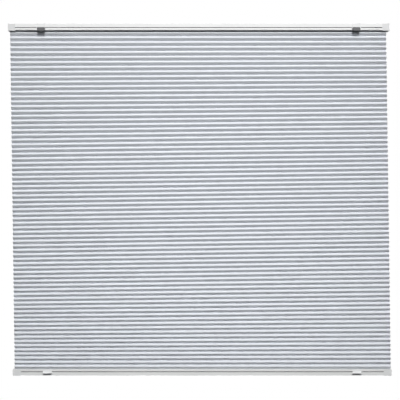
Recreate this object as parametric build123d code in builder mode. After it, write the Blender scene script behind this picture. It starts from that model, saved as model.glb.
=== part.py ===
"""Pleated blind: honeycomb fabric between a head rail and a bottom rail, lifted without a hanging cord.

Two hidden cords run from anchors in the bottom rail up through the cells, over a pulley each, and on
to spools in the head rail. A ribbon spring turns the spools, so the bottom rail stays where it is put.

Frame: origin at the centre of the four ceiling screw holes, on the brackets' top faces. +X runs along
the width, +Z is up and -Y faces the room. Sizes are in millimetres.
"""

import os
from math import acos, atan2, cos, degrees, hypot, pi, radians, sin, tan

from build123d import *

os.makedirs("parts", exist_ok=True)

SIDES = {"left": -1, "right": 1}

# Overall sizes
BLIND_WIDTH = 1400.0  # over the head rail's end caps
BOTTOM_WIDTH = BLIND_WIDTH - 10.0  # over the bottom rail's end caps
FABRIC_WIDTH = BLIND_WIDTH - 18.0
HANG_SHIFT = 13.0  # how far to the right of the head rail the bottom rail hangs

# Fabric
CELLS = 74
CELL_PITCH = 16.786
CELL_DEPTH = 25.0
GLUE_STRIP = 6.0
FABRIC_WALL = 0.35
CORD_HOLE_R = 2.0

# Brackets and the levers that lock the head rail into them
BRACKET_X = BLIND_WIDTH / 2 - 122.0
BRACKET_WIDTH = 30.0
SHEET = 1.2
STRAP_GAP = 0.6  # the ceiling screws' heads sink into the rail's open top
WALL_GAP = 3.5
FLANGE_DROP = 32.0
FRONT_GAP = 0.7
BRACKET_HOLE_R = 2.25
CEILING_HOLE_Y = 6.0
WALL_HOLE_Z = (-7.5, -27.5)
BEND_R = 1.8
TONGUE_WIDTH = 12.0
LEVER_WIDTH = 27.0
LEVER_HUB_R = 3.0
LEVER_DROP = 10.4
LEVER_CORNER_R = 0.8
LEVER_TAPER = 0.4  # how far the front plate leans out towards the finger edge
LEVER_FLARE = 2.2  # how far the finger edge stands out in front of the hub
HOOK_REACH = 3.4  # how far the hook goes in under the rail
HOOK_THICK = 2.0
HOOK_ROOT = 1.2  # extra thickness where the hook meets the plate
HOOK_GAP = 0.15
TONGUE_FIT = 0.1
TONGUE_GAP = 0.3
NOTCH_SPARE = 1.2
NOTCH_GAP = 0.5
OVERCUT = 0.1
PIN_Y_FROM_RAIL = 3.4
PIN_RISE = 6.7  # from the rail's underside to the pin's middle
PIN_R = 1.0
PIN_HEAD_R = 1.6
PIN_HEAD_T = 0.6
EAR_R = 2.4
SPRING_COIL_R = 1.6
SPRING_WIRE_R = 0.25
SPRING_TURNS = 8
SPRING_PITCH = 0.62
REAR_LEG = 4.0
HUB_LEG = 1.0

# Head rail
RAIL_DEPTH = 36.0
RAIL_HEIGHT = 22.0
RAIL_WALL = 1.4
RAIL_FLOOR = 1.2
RAIL_LIP = 1.3
RAIL_SLOT = 23.0  # opening between the lips along the top
CARRIER_ROOM = 5.3
GROOVE_HEIGHT = 2.5
GROOVE_DEPTH = 1.2
GROOVE_WALL = 1.0
GROOVE_RISE = 8.7  # from the rail's underside to the groove's middle
CAP_LENGTH = 27.0
CAP_END = 3.0
CAP_WALL = 0.8
CAP_FIT = 0.05
CAP_EDGE_R = 0.7

# Strips that carry the fabric
CARRIER_SHEET = 1.2
CARRIER_NECK = 18.0
CARRIER_FLANGE = 27.0
CARRIER_REACH = 3.0  # how far the strip stands out of its rail
CARRIER_FIT = 0.3
CARRIER_LIFT = 0.2  # air under the flanges that hang in the slots

# Bottom rail
BOTTOM_DEPTH = 30.0
BOTTOM_HEIGHT = 21.6
BOTTOM_WALL = 1.2
BOTTOM_NECK = 16.0
BOTTOM_FLANGE = 22.0
BOTTOM_CARRIER_REACH = 1.0
BOTTOM_WEB_DROP = 3.1
BOTTOM_GROOVE_DROP = 7.9
BOTTOM_CAP_LENGTH = 29.0
WEIGHT_WIDTH = 16.0
WEIGHT_THICK = 4.0
WEIGHT_LENGTH = BOTTOM_WIDTH - 70.0
WEIGHT_EDGE = 0.4
TAB_WIDTH = 32.0
TAB_HEIGHT = 11.5
TAB_THICK = 1.8
TAB_REACH = 9.0
TAB_CORNER_R = 3.0
TAB_TOP_DROP = 1.5
TAB_GAP = 0.2
RIB_FIT = 0.4
RIB_GAP = 0.3

# Lift cords
CORD_X = BLIND_WIDTH / 2 - 132.0
CORD_R = 0.6
CORD_PASS_R = 1.6
KNOT_R = 1.7
KNOT_GAP = 0.4
WRAP_SHARE = 0.2  # how far round the spool the modelled cord starts, as a share of its radius
ANCHOR_LENGTH = 14.0
ANCHOR_WIDTH = 10.0
ANCHOR_HEIGHT = 4.5
ANCHOR_CORNER_R = 2.0
ANCHOR_BORE_R = 1.2
ANCHOR_POCKET_R = 2.4
ANCHOR_POCKET_DEPTH = 3.2

# Spring motor: four shafts in line, all geared together
TEETH = 18
GEAR_ROOM = 1.1  # from the tips of the teeth to the rail's inner ribs
ADDENDUM = 0.8  # tooth height outside the pitch circle, in modules
DEDENDUM = 1.25  # tooth depth inside it, in modules
PRESSURE_ANGLE = 20.0
TOOTH_SHARE = 0.42  # of the circular pitch, which leaves room between the flanks
CENTRE_EXTRA = 0.15
GEAR_THICK = 2.5
BASE_THICK = 2.0
COVER_THICK = 1.5
FLANGE_THICK = 1.0
AXIAL_GAP = 0.3
POST_R = 2.0
PIP_R = 1.2
RUNNING = 0.05
SPOOL_RIM = 0.5  # each drum size is this much inside the pitch circle
SPOOL_WIND = 3.5
SPOOL_CORE = 4.5
DRUM_RIM = 2.5
DRUM_CORE = 6.5
RIBBON_GAP = 0.3
RIBBON_THICK = 0.3
RIBBON_FULL = 2.3
RIBBON_SPARE = 0.6
RIBBON_CLEAR = 0.2
COVER_GAP = 0.1
COVER_CORNER_R = 3.0
MOTOR_MARGIN = 4.0
PILLAR_INSET = 3.4
PILLAR_R = 2.0
SCREW_R = 0.85
SCREW_HEAD_R = 1.8
SCREW_LENGTH = 6.0
DRIVE_SIZE = 2.2
DRIVE_WIDTH = 0.4
CORD_BELOW_FLANGE = 1.6

# Pulleys that turn the cords down into the fabric
pulley_rIM = 1.0  # how far the rims stand out past the cord's middle
PULLEY_GAP = 0.3
PULLEY_WIDTH = 3.0
PULLEY_GROOVE_R = 0.95
AXLE_R = 1.0
AXLE_EDGE = 0.2
CRADLE_CHEEK = 1.6
CRADLE_BASE = 1.2
CRADLE_SIDE_GAP = 0.3
CRADLE_SPIGOT_R = 2.9
CRADLE_RIM = 2.9
CRADLE_PRESS = 0.02

# Levels and half sizes that follow from the sizes above
rail_top = -(SHEET + STRAP_GAP)
rail_bottom = rail_top - RAIL_HEIGHT
rail_half = RAIL_DEPTH / 2
rail_inner = rail_half - RAIL_WALL
rail_end = BLIND_WIDTH / 2 - CAP_END
floor_low = rail_bottom + CARRIER_ROOM
floor_top = floor_low + RAIL_FLOOR
groove_z = rail_bottom + GROOVE_RISE
groove_inner = rail_half - GROOVE_DEPTH - GROOVE_WALL
lip_low = rail_top - RAIL_LIP

fabric_top = rail_bottom - CARRIER_REACH
fabric_bottom = fabric_top - CELLS * CELL_PITCH
nose = CELL_DEPTH / 2
strip_half = GLUE_STRIP / 2

bottom_top = fabric_bottom - BOTTOM_CARRIER_REACH
bottom_low = bottom_top - BOTTOM_HEIGHT
bottom_half = BOTTOM_DEPTH / 2
bottom_inner = bottom_half - BOTTOM_WALL
bottom_end = BOTTOM_WIDTH / 2 - CAP_END
web_top = bottom_top - BOTTOM_WEB_DROP
web_low = web_top - BOTTOM_WALL
bottom_groove_z = bottom_top - BOTTOM_GROOVE_DROP
bottom_groove_inner = bottom_half - GROOVE_DEPTH - GROOVE_WALL

pin_y = -(rail_half + PIN_Y_FROM_RAIL)
pin_z = rail_bottom + PIN_RISE

module = (groove_inner - GEAR_ROOM) / (TEETH / 2 + ADDENDUM)
pitch_r = module * TEETH / 2
base_r = pitch_r * cos(radians(PRESSURE_ANGLE))
tip_r = pitch_r + ADDENDUM * module
root_r = pitch_r - DEDENDUM * module
spool_wind_r = pitch_r - SPOOL_WIND
drum_core_r = pitch_r - DRUM_CORE
drum_flange_r = pitch_r - DRUM_RIM
gear_step = 2 * pitch_r + CENTRE_EXTRA
shaft_x = [gear_step * (index - 1.5) for index in range(4)]
base_top = floor_top + BASE_THICK
gear_low = base_top + AXIAL_GAP
gear_top = gear_low + GEAR_THICK
cover_top = lip_low - COVER_GAP
cover_low = cover_top - COVER_THICK
drum_top = cover_low - AXIAL_GAP
flange_low = drum_top - FLANGE_THICK
cord_z = flange_low - CORD_BELOW_FLANGE
pulley_room = cord_z - floor_top - CRADLE_BASE - PULLEY_GAP
pulley_wind_r = (pulley_room - pulley_rIM) / 2
pulley_r = pulley_wind_r + pulley_rIM
pulley_x = CORD_X - pulley_wind_r
pulley_z = cord_z - pulley_wind_r
cradle_inner = PULLEY_WIDTH / 2 + CRADLE_SIDE_GAP
cradle_half = cradle_inner + CRADLE_CHEEK
knot_z = web_low - ANCHOR_HEIGHT + ANCHOR_POCKET_DEPTH - KNOT_GAP - KNOT_R


def rect(across, up, mode=Mode.ADD):
    """Add a rectangle to the open sketch, from its low and high values each way."""
    with Locations(((across[0] + across[1]) / 2, (up[0] + up[1]) / 2)):
        Rectangle(across[1] - across[0], up[1] - up[0], mode=mode)


def block(x, y, z, mode=Mode.ADD):
    """Add a block to the open part, from its low and high values along X, Y and Z."""
    with Locations(((x[0] + x[1]) / 2, (y[0] + y[1]) / 2, (z[0] + z[1]) / 2)):
        Box(x[1] - x[0], y[1] - y[0], z[1] - z[0], mode=mode)


def span(sign, near, far, shift=0.0):
    """Low and high X of a piece that lies from near to far out on one side of a middle at shift."""
    return tuple(sorted((shift + sign * near, shift + sign * far)))


def cord_passages(z, height, radius, shift=0.0, lean=0.0):
    """Cut the two round passages for the lift cords through the open part."""
    with Locations(*[(sign * CORD_X + shift, 0, z) for sign in SIDES.values()]):
        Cylinder(radius, height, rotation=(0, lean, 0), mode=Mode.SUBTRACT)


# Head rail: open channel with lips along its top, a floor, and a slot below the floor
with BuildPart() as head_rail:
    with BuildSketch(Plane.YZ):
        rect((-rail_half, rail_half), (rail_bottom, rail_top))
        rect((-rail_inner, rail_inner), (floor_top, lip_low), Mode.SUBTRACT)
        rect((-RAIL_SLOT / 2, RAIL_SLOT / 2), (lip_low, rail_top), Mode.SUBTRACT)
        rect((-rail_inner, rail_inner), (rail_bottom + SHEET, floor_low), Mode.SUBTRACT)
        neck_half = CARRIER_NECK / 2 + CARRIER_FIT
        rect((-neck_half, neck_half), (rail_bottom, rail_bottom + SHEET), Mode.SUBTRACT)
        for face in (-1, 1):
            wall = tuple(sorted((face * groove_inner, face * rail_inner)))
            reach = GROOVE_HEIGHT / 2 + GROOVE_WALL
            rect(wall, (groove_z - reach, groove_z + reach))
            cut = tuple(sorted((face * (rail_half - GROOVE_DEPTH), face * rail_half)))
            rect(cut, (groove_z - GROOVE_HEIGHT / 2, groove_z + GROOVE_HEIGHT / 2), Mode.SUBTRACT)
    extrude(amount=rail_end, both=True)
    cord_passages((floor_low + floor_top) / 2, RAIL_FLOOR, CRADLE_SPIGOT_R + CRADLE_PRESS)
head_rail.part.label = "head_rail"
export_step(head_rail.part, "parts/head_rail.step")

# Caps that close the head rail's ends
for side, sign in SIDES.items():
    with BuildPart() as head_cap:
        outer = rail_half + CAP_FIT + CAP_WALL
        cap_low = rail_bottom - CARRIER_REACH + 2 * CARRIER_FIT
        block(
            span(sign, BLIND_WIDTH / 2 - CAP_LENGTH, BLIND_WIDTH / 2),
            (-outer, outer),
            (cap_low, rail_top + CAP_FIT + CAP_WALL),
        )
        end_face = head_cap.faces().sort_by(Axis.X)[0 if sign < 0 else -1]
        fillet(end_face.edges(), radius=CAP_EDGE_R)
        block(
            span(sign, BLIND_WIDTH / 2 - CAP_LENGTH, rail_end + CAP_FIT),
            (-rail_half - CAP_FIT, rail_half + CAP_FIT),
            (rail_bottom - CAP_FIT, rail_top + CAP_FIT),
            Mode.SUBTRACT,
        )
        block(
            span(sign, BLIND_WIDTH / 2 - CAP_LENGTH, rail_end + CAP_FIT),
            (-CARRIER_NECK / 2 - CARRIER_FIT, CARRIER_NECK / 2 + CARRIER_FIT),
            (cap_low, rail_bottom),
            Mode.SUBTRACT,
        )
    head_cap.part.label = f"head_cap_{side}"
    export_step(head_cap.part, f"parts/head_cap_{side}.step")

# Upper strip: a channel with side flanges that slides into the head rail's slot
with BuildPart() as carrier_top:
    flange_z = rail_bottom + SHEET + CARRIER_LIFT
    with BuildSketch(Plane.YZ):
        rect((-CARRIER_NECK / 2, CARRIER_NECK / 2), (fabric_top, flange_z + CARRIER_SHEET))
        rect((-CARRIER_FLANGE / 2, CARRIER_FLANGE / 2), (flange_z, flange_z + CARRIER_SHEET))
        hollow = CARRIER_NECK / 2 - CARRIER_SHEET
        rect((-hollow, hollow), (fabric_top + CARRIER_SHEET, flange_z + CARRIER_SHEET), Mode.SUBTRACT)
    extrude(amount=FABRIC_WIDTH / 2, both=True)
    cord_passages(fabric_top + CARRIER_SHEET / 2, CARRIER_SHEET, CORD_PASS_R)
carrier_top.part.label = "carrier_top"
export_step(carrier_top.part, "parts/carrier_top.step")

# Fabric: a column of six-sided cells, each glued to the next along a narrow strip
with BuildPart() as pleated_fabric:
    facet = hypot(nose - strip_half, CELL_PITCH / 2)
    wall_y = FABRIC_WALL * facet / (CELL_PITCH / 2)
    slope = (nose - strip_half) / (CELL_PITCH / 2)
    with BuildSketch(Plane.YZ.offset(-FABRIC_WIDTH / 2)):
        front = []
        for cell in range(CELLS):
            cell_top = fabric_top - cell * CELL_PITCH
            front.append((-strip_half, cell_top))
            front.append((-nose, cell_top - CELL_PITCH / 2))
        front.append((-strip_half, fabric_bottom))
        back = [(-y, z) for y, z in reversed(front)]
        with BuildLine():
            Polyline(*front, *back, close=True)
        make_face()
        inner_strip = strip_half + slope * FABRIC_WALL - wall_y
        for cell in range(CELLS):
            cell_mid = fabric_top - (cell + 0.5) * CELL_PITCH
            inner_up = CELL_PITCH / 2 - FABRIC_WALL
            with BuildLine():
                Polyline(
                    (-inner_strip, cell_mid + inner_up),
                    (inner_strip, cell_mid + inner_up),
                    (nose - wall_y, cell_mid),
                    (inner_strip, cell_mid - inner_up),
                    (-inner_strip, cell_mid - inner_up),
                    (wall_y - nose, cell_mid),
                    close=True,
                )
            make_face(mode=Mode.SUBTRACT)
    extrude(amount=FABRIC_WIDTH + HANG_SHIFT)
    with BuildSketch(Plane.XZ.offset(-nose)):
        for edge_x, spare in ((-FABRIC_WIDTH / 2, fabric_bottom), (FABRIC_WIDTH / 2, fabric_top)):
            with BuildLine():
                Polyline(
                    (edge_x, fabric_top),
                    (edge_x + HANG_SHIFT, spare),
                    (edge_x + (HANG_SHIFT if spare == fabric_top else 0), fabric_bottom),
                    close=True,
                )
            make_face()
    extrude(amount=CELL_DEPTH, mode=Mode.SUBTRACT)
    lean = -degrees(atan2(HANG_SHIFT, fabric_top - fabric_bottom))
    middle_z = (fabric_top + fabric_bottom) / 2
    cord_passages(middle_z, fabric_top - fabric_bottom + CELL_PITCH, CORD_HOLE_R, HANG_SHIFT / 2, lean)
pleated_fabric.part.label = "pleated_fabric"
export_step(pleated_fabric.part, "parts/pleated_fabric.step")

# Bottom rail: closed channel with a slot along its top and a web under the slot
with BuildPart() as bottom_rail:
    with BuildSketch(Plane.YZ.offset(HANG_SHIFT)):
        rect((-bottom_half, bottom_half), (bottom_low, bottom_top))
        rect((-bottom_inner, bottom_inner), (web_top, bottom_top - BOTTOM_WALL), Mode.SUBTRACT)
        rect((-bottom_inner, bottom_inner), (bottom_low + BOTTOM_WALL, web_low), Mode.SUBTRACT)
        neck_half = BOTTOM_NECK / 2 + CARRIER_FIT
        rect((-neck_half, neck_half), (bottom_top - BOTTOM_WALL, bottom_top), Mode.SUBTRACT)
        for face in (-1, 1):
            wall = tuple(sorted((face * bottom_groove_inner, face * bottom_inner)))
            reach = GROOVE_HEIGHT / 2 + GROOVE_WALL
            rect(wall, (bottom_groove_z - reach, bottom_groove_z + reach))
            cut = tuple(sorted((face * (bottom_half - GROOVE_DEPTH), face * bottom_half)))
            level = (bottom_groove_z - GROOVE_HEIGHT / 2, bottom_groove_z + GROOVE_HEIGHT / 2)
            rect(cut, level, Mode.SUBTRACT)
    extrude(amount=bottom_end, both=True)
    cord_passages((web_low + web_top) / 2, BOTTOM_WALL, CORD_PASS_R, HANG_SHIFT)
bottom_rail.part.label = "bottom_rail"
export_step(bottom_rail.part, "parts/bottom_rail.step")

# Caps that close the bottom rail's ends
for side, sign in SIDES.items():
    with BuildPart() as bottom_cap:
        outer = bottom_half + CAP_FIT + CAP_WALL
        block(
            span(sign, BOTTOM_WIDTH / 2 - BOTTOM_CAP_LENGTH, BOTTOM_WIDTH / 2, HANG_SHIFT),
            (-outer, outer),
            (bottom_low - CAP_FIT - CAP_WALL, bottom_top + CAP_FIT + CAP_WALL / 2),
        )
        end_face = bottom_cap.faces().sort_by(Axis.X)[0 if sign < 0 else -1]
        fillet(end_face.edges(), radius=CAP_EDGE_R)
        block(
            span(sign, BOTTOM_WIDTH / 2 - BOTTOM_CAP_LENGTH, bottom_end + CAP_FIT, HANG_SHIFT),
            (-bottom_half - CAP_FIT, bottom_half + CAP_FIT),
            (bottom_low - CAP_FIT, bottom_top + CAP_FIT),
            Mode.SUBTRACT,
        )
        block(
            span(sign, BOTTOM_WIDTH / 2 - BOTTOM_CAP_LENGTH, bottom_end + CAP_FIT, HANG_SHIFT),
            (-BOTTOM_NECK / 2 - CARRIER_FIT, BOTTOM_NECK / 2 + CARRIER_FIT),
            (bottom_top, fabric_bottom),
            Mode.SUBTRACT,
        )
    bottom_cap.part.label = f"bottom_cap_{side}"
    export_step(bottom_cap.part, f"parts/bottom_cap_{side}.step")

# Lower strip: the same channel upside down, in the bottom rail's slot
with BuildPart() as carrier_bottom:
    flange_z = web_top + CARRIER_LIFT / 2
    with BuildSketch(Plane.YZ.offset(HANG_SHIFT)):
        rect((-BOTTOM_NECK / 2, BOTTOM_NECK / 2), (flange_z, fabric_bottom))
        rect((-BOTTOM_FLANGE / 2, BOTTOM_FLANGE / 2), (flange_z, flange_z + CARRIER_SHEET))
        hollow = BOTTOM_NECK / 2 - CARRIER_SHEET
        rect((-hollow, hollow), (flange_z, fabric_bottom - CARRIER_SHEET), Mode.SUBTRACT)
    extrude(amount=FABRIC_WIDTH / 2, both=True)
    cord_passages(fabric_bottom - CARRIER_SHEET / 2, CARRIER_SHEET, CORD_PASS_R, HANG_SHIFT)
carrier_bottom.part.label = "carrier_bottom"
export_step(carrier_bottom.part, "parts/carrier_bottom.step")

# Flat bar that weights the bottom rail, lying on its inner floor
with BuildPart() as weight_bar:
    bar_low = bottom_low + BOTTOM_WALL
    block(
        (HANG_SHIFT - WEIGHT_LENGTH / 2, HANG_SHIFT + WEIGHT_LENGTH / 2),
        (-WEIGHT_WIDTH / 2, WEIGHT_WIDTH / 2),
        (bar_low, bar_low + WEIGHT_THICK),
    )
    chamfer(weight_bar.edges().filter_by(Axis.X), length=WEIGHT_EDGE)
weight_bar.part.label = "weight_bar"
export_step(weight_bar.part, "parts/weight_bar.step")

# Anchors under the bottom rail's web, each with a pocket for a cord's end knot
for side, sign in SIDES.items():
    with BuildPart() as cord_anchor:
        anchor_low = web_low - ANCHOR_HEIGHT
        block(
            span(sign, CORD_X - ANCHOR_LENGTH / 2, CORD_X + ANCHOR_LENGTH / 2, HANG_SHIFT),
            (-ANCHOR_WIDTH / 2, ANCHOR_WIDTH / 2),
            (anchor_low, web_low),
        )
        fillet(cord_anchor.edges().filter_by(Axis.Z), radius=ANCHOR_CORNER_R)
        with Locations((sign * CORD_X + HANG_SHIFT, 0, web_low - ANCHOR_HEIGHT / 2)):
            Cylinder(ANCHOR_BORE_R, ANCHOR_HEIGHT, mode=Mode.SUBTRACT)
        with Locations((sign * CORD_X + HANG_SHIFT, 0, anchor_low + ANCHOR_POCKET_DEPTH / 2)):
            Cylinder(ANCHOR_POCKET_R, ANCHOR_POCKET_DEPTH, mode=Mode.SUBTRACT)
    cord_anchor.part.label = f"cord_anchor_{side}"
    export_step(cord_anchor.part, f"parts/cord_anchor_{side}.step")

# Finger tabs clipped into the bottom rail's front groove
for side, sign in SIDES.items():
    with BuildPart() as pull_tab:
        tab_x = sign * CORD_X + HANG_SHIFT
        tab_back = -bottom_half - TAB_GAP
        tab_top = bottom_top - TAB_TOP_DROP
        tab_low = tab_top - TAB_HEIGHT
        with BuildSketch(Plane.XZ.offset(-tab_back)):
            with Locations((tab_x, (tab_top + tab_low) / 2)):
                RectangleRounded(TAB_WIDTH, TAB_HEIGHT, TAB_CORNER_R)
        extrude(amount=TAB_THICK)
        with BuildSketch(Plane.XY.offset(tab_low)):
            with Locations((tab_x, tab_back - TAB_REACH)):
                RectangleRounded(TAB_WIDTH, 2 * TAB_REACH, 2 * TAB_CORNER_R)
            side_reach = (tab_x - TAB_WIDTH / 2, tab_x + TAB_WIDTH / 2)
            rect(side_reach, (tab_back - 2 * TAB_REACH, tab_back - TAB_REACH), Mode.SUBTRACT)
        extrude(amount=TAB_THICK)
        rib = GROOVE_HEIGHT / 2 - RIB_FIT
        block(
            (tab_x - TAB_WIDTH / 2 + TAB_CORNER_R, tab_x + TAB_WIDTH / 2 - TAB_CORNER_R),
            (tab_back, -bottom_half + GROOVE_DEPTH - RIB_GAP),
            (bottom_groove_z - rib, bottom_groove_z + rib),
        )
    pull_tab.part.label = f"pull_tab_{side}"
    export_step(pull_tab.part, f"parts/pull_tab_{side}.step")

# Brackets: a bent strap over the rail, with a tongue into its rear groove and ears for the lever
strap_back = rail_half + WALL_GAP
strap_front = -(rail_half + FRONT_GAP)
front_low = pin_z + LEVER_HUB_R + AXIAL_GAP
for side, sign in SIDES.items():
    with BuildPart() as bracket:
        middle = sign * BRACKET_X
        strap_start = middle - BRACKET_WIDTH / 2
        with BuildSketch(Plane.YZ.offset(strap_start)) as strap:
            rect((strap_front - SHEET, strap_back + SHEET), (-SHEET, 0))
            rect((strap_back, strap_back + SHEET), (-FLANGE_DROP, 0))
            rect((strap_front - SHEET, strap_front), (front_low, 0))
            fillet(strap.vertices().group_by(Axis.Y)[-1], radius=BEND_R)
        extrude(amount=BRACKET_WIDTH)
        for ear_start in (strap_start, strap_start + BRACKET_WIDTH - SHEET):
            with BuildSketch(Plane.YZ.offset(ear_start)):
                rect((pin_y, strap_front), (pin_z, -BEND_R))
                with Locations((pin_y, pin_z)):
                    Circle(EAR_R)
            extrude(amount=SHEET)
        tongue_top = groove_z + GROOVE_HEIGHT / 2 - TONGUE_FIT
        tongue_x = (middle - TONGUE_WIDTH / 2, middle + TONGUE_WIDTH / 2)
        window_low = tongue_top - SHEET - WALL_GAP
        block(tongue_x, (strap_back, strap_back + SHEET), (window_low, tongue_top - SHEET), Mode.SUBTRACT)
        tongue_tip = rail_half - GROOVE_DEPTH + TONGUE_GAP
        block(tongue_x, (tongue_tip, strap_back), (tongue_top - SHEET, tongue_top))
        with Locations((middle, -CEILING_HOLE_Y, -SHEET / 2), (middle, CEILING_HOLE_Y, -SHEET / 2)):
            Cylinder(BRACKET_HOLE_R, SHEET, mode=Mode.SUBTRACT)
        with Locations(*[(middle, strap_back + SHEET / 2, z) for z in WALL_HOLE_Z]):
            Cylinder(BRACKET_HOLE_R, SHEET, rotation=(90, 0, 0), mode=Mode.SUBTRACT)
        with Locations((middle, pin_y, pin_z)):
            Cylinder(PIN_R + CRADLE_PRESS, BRACKET_WIDTH, rotation=(0, 90, 0), mode=Mode.SUBTRACT)
    bracket.part.label = f"bracket_{side}"
    export_step(bracket.part, f"parts/bracket_{side}.step")

# Pins that the levers turn on, with a flat head at each end
for side, sign in SIDES.items():
    with BuildPart() as lever_pin:
        with Locations((sign * BRACKET_X, pin_y, pin_z)):
            Cylinder(PIN_R, BRACKET_WIDTH, rotation=(0, 90, 0))
        for end in (-1, 1):
            head_x = sign * BRACKET_X + end * (BRACKET_WIDTH + PIN_HEAD_T) / 2
            with Locations((head_x, pin_y, pin_z)):
                Cylinder(PIN_HEAD_R, PIN_HEAD_T, rotation=(0, 90, 0))
    lever_pin.part.label = f"lever_pin_{side}"
    export_step(lever_pin.part, f"parts/lever_pin_{side}.step")

# Levers: a hub on the pin, a front plate, a hook under the rail and a finger edge below it
plate_front = pin_y - LEVER_HUB_R
plate_back = pin_y + TONGUE_FIT * 2
hook_tip = -rail_half + HOOK_REACH
hook_top = rail_bottom - HOOK_GAP
hook_low = hook_top - HOOK_THICK
lever_low = pin_z - LEVER_DROP
for side, sign in SIDES.items():
    with BuildPart() as bracket_lever:
        middle = sign * BRACKET_X
        with BuildSketch(Plane.YZ.offset(middle - LEVER_WIDTH / 2)):
            with BuildLine():
                Polyline(
                    (plate_front, pin_z),
                    (plate_front - LEVER_TAPER, hook_low),
                    (plate_front - LEVER_FLARE, lever_low),
                    (plate_front - LEVER_TAPER, lever_low),
                    (plate_back - LEVER_TAPER, hook_low - HOOK_ROOT),
                    (hook_tip, hook_low),
                    (hook_tip, hook_top),
                    (plate_back, hook_top),
                    (plate_back, pin_z),
                    close=True,
                )
            make_face()
            with Locations((pin_y, pin_z)):
                Circle(LEVER_HUB_R)
        extrude(amount=LEVER_WIDTH)
        corners = bracket_lever.edges().filter_by(Axis.Y, tolerance=30).group_by(Axis.Z)[0]
        fillet(corners.sort_by(Axis.X), radius=LEVER_CORNER_R)
        notch_half = SPRING_TURNS * SPRING_PITCH / 2 + NOTCH_SPARE
        block(
            (middle - notch_half, middle + notch_half),
            (pin_y - SPRING_COIL_R - NOTCH_GAP, pin_y + LEVER_HUB_R + OVERCUT),
            (pin_z - LEVER_HUB_R - OVERCUT, pin_z + LEVER_HUB_R + OVERCUT),
            Mode.SUBTRACT,
        )
        with Locations((middle, pin_y, pin_z)):
            Cylinder(PIN_R + RUNNING, LEVER_WIDTH, rotation=(0, 90, 0), mode=Mode.SUBTRACT)
    bracket_lever.part.label = f"bracket_lever_{side}"
    export_step(bracket_lever.part, f"parts/bracket_lever_{side}.step")

# Wire springs coiled round the pins: one leg against the rail's face, one inside the lever's hub
coil_length = SPRING_TURNS * SPRING_PITCH
for side, sign in SIDES.items():
    with BuildPart() as lever_spring:
        coil_start = sign * BRACKET_X - coil_length / 2
        with BuildLine():
            turns = Helix(SPRING_PITCH, coil_length, SPRING_COIL_R, (coil_start, pin_y, pin_z), (1, 0, 0))
            rear_tip = turns @ 0 - turns % 0 * REAR_LEG
            Line(rear_tip, turns @ 0)
            Line(turns @ 1, turns @ 1 + turns % 1 * HUB_LEG)
        with BuildSketch(Plane(origin=rear_tip, z_dir=turns % 0)):
            Circle(SPRING_WIRE_R)
        sweep(is_frenet=True)
    lever_spring.part.label = f"lever_spring_{side}"
    export_step(lever_spring.part, f"parts/lever_spring_{side}.step")


def involute(angle):
    """The involute function of an angle in radians, in degrees."""
    return degrees(tan(angle) - angle)


def gear_points(phase):
    """Outline of a spur gear with involute flanks, its first tooth turned by phase degrees."""
    pitch_half = 360 / TEETH * TOOTH_SHARE / 2
    flank = []
    for radius in (root_r, base_r, (base_r + pitch_r) / 2, pitch_r, (pitch_r + tip_r) / 2, tip_r):
        slant = acos(min(1.0, base_r / radius))
        half = pitch_half + involute(radians(PRESSURE_ANGLE)) - involute(slant)
        flank.append((radius, half))
    points = []
    for tooth in range(TEETH):
        middle = phase + 360 * tooth / TEETH
        rising = [(radius, middle - half) for radius, half in flank]
        falling = [(radius, middle + half) for radius, half in reversed(flank)]
        for radius, angle in rising + falling:
            points.append((radius * cos(radians(angle)), radius * sin(radians(angle))))
    return points


def gear(x, phase):
    """Add a spur gear on the shaft at x to the open part."""
    with BuildSketch(Plane((x, 0, gear_low))) as section:
        with BuildLine():
            Polyline(*gear_points(phase), close=True)
        make_face()
    extrude(section.sketch, amount=GEAR_THICK)


def disc(x, radius, low, high, mode=Mode.ADD):
    """Add a round disc or drum on the shaft at x, from one level to another."""
    with Locations((x, 0, (low + high) / 2)):
        Cylinder(radius, high - low, mode=mode)


half_tooth = 180 / TEETH
post_bore = POST_R + RUNNING

# Spools that the lift cords wind on, each in one piece with its gear
for side, x, phase in (("left", shaft_x[0], 0), ("right", shaft_x[3], half_tooth)):
    with BuildPart() as cord_spool:
        gear(x, phase)
        disc(x, pitch_r - SPOOL_CORE, gear_top, flange_low)
        disc(x, pitch_r - SPOOL_RIM, flange_low, drum_top)
        disc(x, post_bore, gear_low, drum_top, Mode.SUBTRACT)
    cord_spool.part.label = f"cord_spool_{side}"
    export_step(cord_spool.part, f"parts/cord_spool_{side}.step")

# Idler gear under the storage drum
with BuildPart() as idler_gear:
    gear(shaft_x[1], half_tooth)
    disc(shaft_x[1], post_bore, gear_low, gear_top, Mode.SUBTRACT)
idler_gear.part.label = "idler_gear"
export_step(idler_gear.part, "parts/idler_gear.step")

# Storage drum, free on the idler's post: the ribbon spring's spare turns lie on it
with BuildPart() as storage_drum:
    drum_low = gear_top + AXIAL_GAP
    disc(shaft_x[1], drum_flange_r, drum_low, drum_low + FLANGE_THICK)
    disc(shaft_x[1], drum_core_r, drum_low + FLANGE_THICK, flange_low)
    disc(shaft_x[1], drum_flange_r, flange_low, drum_top)
    disc(shaft_x[1], post_bore, drum_low, drum_top, Mode.SUBTRACT)
storage_drum.part.label = "storage_drum"
export_step(storage_drum.part, "parts/storage_drum.step")

# Output drum, in one piece with its gear: the ribbon spring pulls it round
with BuildPart() as output_drum:
    gear(shaft_x[2], 0)
    disc(shaft_x[2], drum_core_r, gear_top, flange_low)
    disc(shaft_x[2], drum_flange_r, flange_low, drum_top)
    disc(shaft_x[2], post_bore, gear_low, drum_top, Mode.SUBTRACT)
output_drum.part.label = "output_drum"
export_step(output_drum.part, "parts/output_drum.step")

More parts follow.
